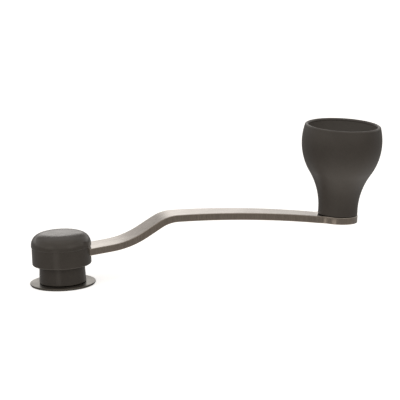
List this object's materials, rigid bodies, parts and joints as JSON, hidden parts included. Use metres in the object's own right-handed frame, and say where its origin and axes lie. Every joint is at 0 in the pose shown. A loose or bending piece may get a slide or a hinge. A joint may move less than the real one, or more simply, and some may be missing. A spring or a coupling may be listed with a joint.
{
  "type": "window crank operator",
  "caption": "Window crank: flat S-bent metal arm with a capped, splined black hub over a round wall plate and a hollow, tulip-shaped black knob that spins on its own spindle.",
  "frame": {"origin": "the hub's axis at the back face of the wall gasket, where the escutcheon lies on the wall or window frame", "axes": "+Z leaves the wall along the hub's axis, +X runs along the arm from the hub to the knob"},
  "size_m": [0.1411, 0.031, 0.0516],
  "materials": {
    "black_plastic": "moulded black plastic with a soft satin surface",
    "satin_nickel": "satin nickel plate with a fine lengthwise grain",
    "satin_disc": "satin plated sheet",
    "fibre": "black fibre gasket",
    "zinc_steel": "bright zinc plate",
    "spring_steel": "oiled spring steel",
    "nylon": "natural nylon",
    "bronze": "plain bronze"
  },
  "bodies": {
    "wall_plate": {"panel_gasket": "fibre", "escutcheon_plate": "satin_disc", "friction_washer": "nylon"},
    "crank": {"disc_spring": "spring_steel", "hub_core": "zinc_steel", "hub_housing": "black_plastic", "arm": "satin_nickel", "plain_washer": "zinc_steel", "lock_washer": "spring_steel", "hub_nut": "zinc_steel", "hub_cap": "black_plastic", "knob_spindle": "zinc_steel", "top_washer": "zinc_steel", "knob_spring": "spring_steel", "retaining_ring": "spring_steel"},
    "knob": {"knob_body": "black_plastic", "lower_bush": "nylon", "upper_bush": "nylon", "thrust_washer": "bronze"}
  },
  "joints": [
    {"name": "crank_turn", "type": "hinge", "parent": "wall_plate", "child": "crank", "pos_m": [0, 0, 0], "axis": [0, 0, 1], "continuous": true},
    {"name": "knob_spin", "type": "hinge", "parent": "crank", "child": "knob", "pos_m": [0.11, 0, 0.01538], "axis": [0.108, 0, 0.9942], "continuous": true}
  ]
}
